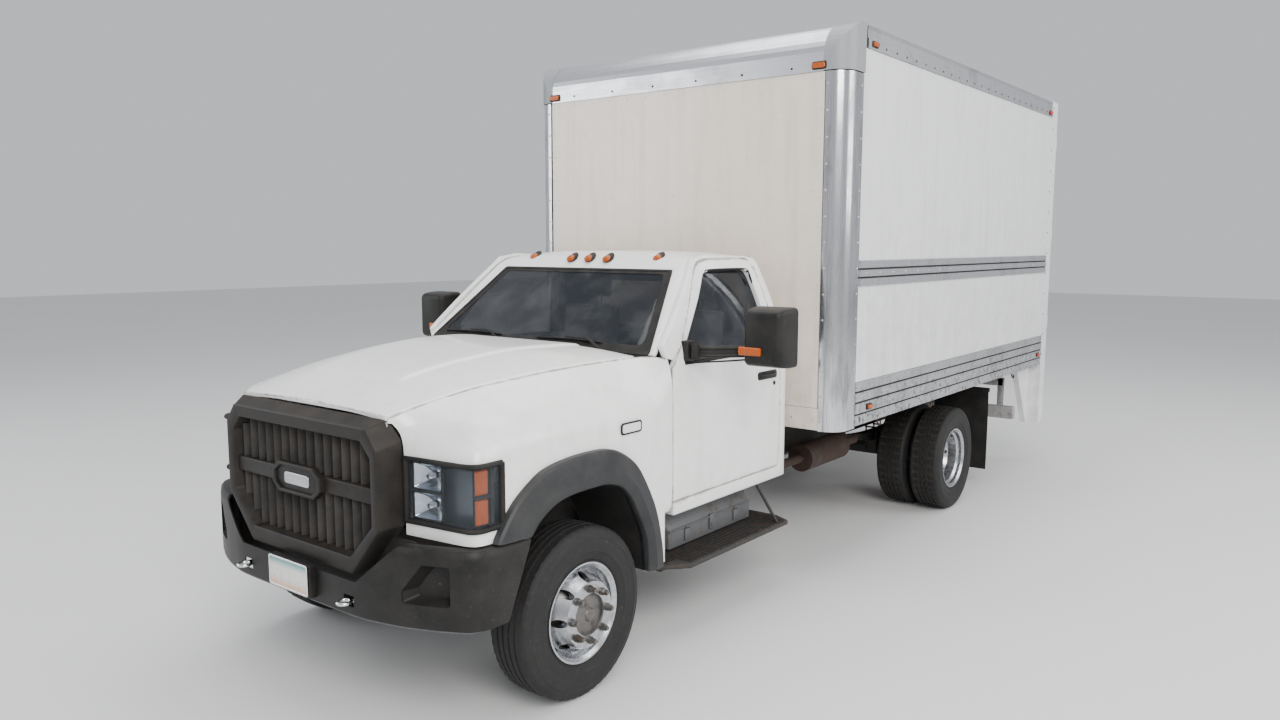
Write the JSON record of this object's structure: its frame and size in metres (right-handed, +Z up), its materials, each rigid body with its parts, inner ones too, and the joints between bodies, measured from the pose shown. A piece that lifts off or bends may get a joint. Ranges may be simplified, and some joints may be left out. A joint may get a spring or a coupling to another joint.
{
  "type": "mail delivery truck",
  "caption": "Medium-duty delivery truck: a regular cab and a dry-freight van body with twin rear doors, steering, wheels, doors, hood and wipers that move.",
  "frame": {"origin": "on the ground, at the centre of the truck's bounding box", "axes": "+Y towards the rear of the truck along its length, +Z up, +X towards the driver's side (the truck's left)"},
  "size_m": [2.904, 7.5939, 3.5],
  "materials": {
    "body_white": "gloss white paint, chipped and scuffed along the edges",
    "panel_white": "satin white panel",
    "panel_cream": "satin warm white panel with fine speckle",
    "polished": "polished aluminium with smudges",
    "galvanised": "mill finish aluminium extrusion",
    "rim_metal": "polished forged aluminium",
    "hub_metal": "bright steel",
    "tyre_rubber": "dusty rubber",
    "trim_black": "grained black plastic with dust",
    "chassis_black": "satin black frame paint with road dirt",
    "rusty_steel": "rusted steel",
    "cast_grey": "oily grey casting",
    "grey_steel": "grey enamel box",
    "chrome": "polished steel",
    "clear_glass": "lightly tinted glass",
    "lens": "clear lens",
    "cabin_plastic": "grained dashboard plastic",
    "seat_fabric": "grey woven seat fabric",
    "deck_wood": "oiled hardwood floor",
    "zinc": "zinc plated steel"
  },
  "bodies": {
    "truck": {"chassis_frame": "chassis_black", "front_axle_beam": "chassis_black", "rear_axle_housing": "chassis_black", "leaf_springs": "chassis_black", "engine": "cast_grey", "exhaust_muffler": "rusty_steel", "fuel_tank": "chassis_black", "battery_box": "grey_steel", "step_boards": "chassis_black", "front_bumper": "trim_black", "tow_eyes": "chrome", "grille_surround": "trim_black", "grille_insert": "trim_black", "headlight_housings": "trim_black", "headlight_lenses": "lens", "fenders": "body_white", "fender_flares": "trim_black", "cab_shell": "body_white", "cab_glass": "clear_glass", "dashboard": "cabin_plastic", "seats": "seat_fabric", "box_floor": "deck_wood", "box_front_wall": "panel_cream", "box_side_left": "panel_white", "box_side_right": "panel_white", "box_roof": "panel_white", "corner_posts": "polished", "side_rails": "galvanised", "rear_frame": "panel_white", "rear_guard": "zinc"},
    "hood": {"hood": "body_white"},
    "door_left": {"door_left": "body_white"},
    "door_right": {"door_right": "body_white"},
    "door_glass_left": {"door_glass_left": "clear_glass"},
    "door_glass_right": {"door_glass_right": "clear_glass"},
    "mirror_left": {"mirror_left": "trim_black"},
    "mirror_right": {"mirror_right": "trim_black"},
    "wiper_left": {"wiper_left": "trim_black"},
    "wiper_right": {"wiper_right": "trim_black"},
    "steering_wheel": {"steering_wheel": "cabin_plastic"},
    "knuckle_left": {"knuckle_left": "chassis_black"},
    "knuckle_right": {"knuckle_right": "chassis_black"},
    "tie_rod": {"tie_rod": "chassis_black"},
    "wheel_front_left": {"tyre_front_left": "tyre_rubber", "rim_front_left": "rim_metal", "hub_front_left": "hub_metal"},
    "wheel_front_right": {"tyre_front_right": "tyre_rubber", "rim_front_right": "rim_metal", "hub_front_right": "hub_metal"},
    "wheels_rear_left": {"tyres_rear_left": "tyre_rubber", "rims_rear_left": "rim_metal", "hub_rear_left": "hub_metal"},
    "wheels_rear_right": {"tyres_rear_right": "tyre_rubber", "rims_rear_right": "rim_metal", "hub_rear_right": "hub_metal"},
    "drive_shaft": {"drive_shaft": "chassis_black"},
    "cargo_door_left": {"cargo_door_left": "panel_white"},
    "cargo_door_right": {"cargo_door_right": "panel_white"},
    "lock_rod_left": {"lock_rod_left": "zinc"},
    "lock_rod_right": {"lock_rod_right": "zinc"}
  },
  "joints": [
    {"name": "steer_left", "type": "hinge", "parent": "truck", "child": "knuckle_left", "pos_m": [0.8, -2.864, 0.418], "axis": [0, 0, 1], "range_deg": [-30, 30]},
    {"name": "steer_right", "type": "hinge", "parent": "truck", "child": "knuckle_right", "pos_m": [-0.8, -2.864, 0.418], "axis": [0, 0, 1], "range_deg": [-30, 30]},
    {"name": "steering_wheel_turn", "type": "hinge", "parent": "truck", "child": "steering_wheel", "pos_m": [0.42, -1.854, 1.42], "axis": [0, 0.848, 0.5299], "range_deg": [-540, 540]},
    {"name": "tie_rod_shift", "type": "slide", "parent": "truck", "child": "tie_rod", "axis": [1, 0, 0], "range_m": [-0.0758, 0.0758]},
    {"name": "wheel_spin_front_left", "type": "hinge", "parent": "knuckle_left", "child": "wheel_front_left", "pos_m": [0.912, -2.864, 0.418], "axis": [1, 0, 0], "continuous": true},
    {"name": "wheel_spin_front_right", "type": "hinge", "parent": "knuckle_right", "child": "wheel_front_right", "pos_m": [-0.912, -2.864, 0.418], "axis": [1, 0, 0], "continuous": true},
    {"name": "wheel_spin_rear_left", "type": "hinge", "parent": "truck", "child": "wheels_rear_left", "pos_m": [0.951, 1.518, 0.418], "axis": [1, 0, 0], "continuous": true},
    {"name": "wheel_spin_rear_right", "type": "hinge", "parent": "truck", "child": "wheels_rear_right", "pos_m": [-0.951, 1.518, 0.418], "axis": [1, 0, 0], "continuous": true},
    {"name": "drive_shaft_spin", "type": "hinge", "parent": "truck", "child": "drive_shaft", "pos_m": [0, -1.134, 0.56], "axis": [0, 0.9983, -0.0586], "continuous": true},
    {"name": "hood_open", "type": "hinge", "parent": "truck", "child": "hood", "pos_m": [0, -2.24, 1.588], "axis": [-1, 0, 0], "range_deg": [0, 50]},
    {"name": "door_open_left", "type": "hinge", "parent": "truck", "child": "door_left", "pos_m": [0.962, -2.082, 1.1], "axis": [0, 0, -1], "range_deg": [0, 65]},
    {"name": "door_open_right", "type": "hinge", "parent": "truck", "child": "door_right", "pos_m": [-0.962, -2.082, 1.1], "axis": [0, 0, 1], "range_deg": [0, 65]},
    {"name": "window_wind_left", "type": "hinge", "parent": "door_left", "child": "door_glass_left", "pos_m": [-0.955, -1.464, 1.25], "axis": [0, 1, 0], "range_deg": [0, 13.4]},
    {"name": "window_wind_right", "type": "hinge", "parent": "door_right", "child": "door_glass_right", "pos_m": [0.955, -1.464, 1.25], "axis": [0, -1, 0], "range_deg": [0, 13.4]},
    {"name": "mirror_fold_left", "type": "hinge", "parent": "door_left", "child": "mirror_left", "pos_m": [0.998, -1.934, 1.58], "axis": [0, 0, 1], "range_deg": [-40, 34]},
    {"name": "mirror_fold_right", "type": "hinge", "parent": "door_right", "child": "mirror_right", "pos_m": [-0.998, -1.934, 1.58], "axis": [0, 0, -1], "range_deg": [-40, 34]},
    {"name": "wiper_sweep_left", "type": "hinge", "parent": "truck", "child": "wiper_left", "pos_m": [0.575, -2.20187, 1.56109], "axis": [0, 0.6759, -0.737], "range_deg": [0, 85]},
    {"name": "wiper_sweep_right", "type": "hinge", "parent": "truck", "child": "wiper_right", "pos_m": [-0.213, -2.20187, 1.56109], "axis": [0, 0.6759, -0.737], "range_deg": [0, 85]},
    {"name": "cargo_door_open_left", "type": "hinge", "parent": "truck", "child": "cargo_door_left", "pos_m": [1.263, 3.752, 2.26], "axis": [0, 0, -1], "range_deg": [0, 234]},
    {"name": "cargo_door_open_right", "type": "hinge", "parent": "truck", "child": "cargo_door_right", "pos_m": [-1.263, 3.752, 2.26], "axis": [0, 0, 1], "range_deg": [0, 234]},
    {"name": "lock_turn_left", "type": "hinge", "parent": "cargo_door_left", "child": "lock_rod_left", "pos_m": [0.14, 3.762, 2.2], "axis": [0, 0, 1], "range_deg": [0, 75]},
    {"name": "lock_turn_right", "type": "hinge", "parent": "cargo_door_right", "child": "lock_rod_right", "pos_m": [-0.14, 3.762, 2.2], "axis": [0, 0, -1], "range_deg": [0, 75]}
  ],
  "couplings": [
    {"joint": "steer_right", "follows": "steer_left", "ratio": 1},
    {"joint": "steering_wheel_turn", "follows": "steer_left", "ratio": 18},
    {"joint": "tie_rod_shift", "follows": "steer_left", "m_per_rad": -0.14324},
    {"joint": "wiper_sweep_right", "follows": "wiper_sweep_left", "ratio": 1}
  ]
}
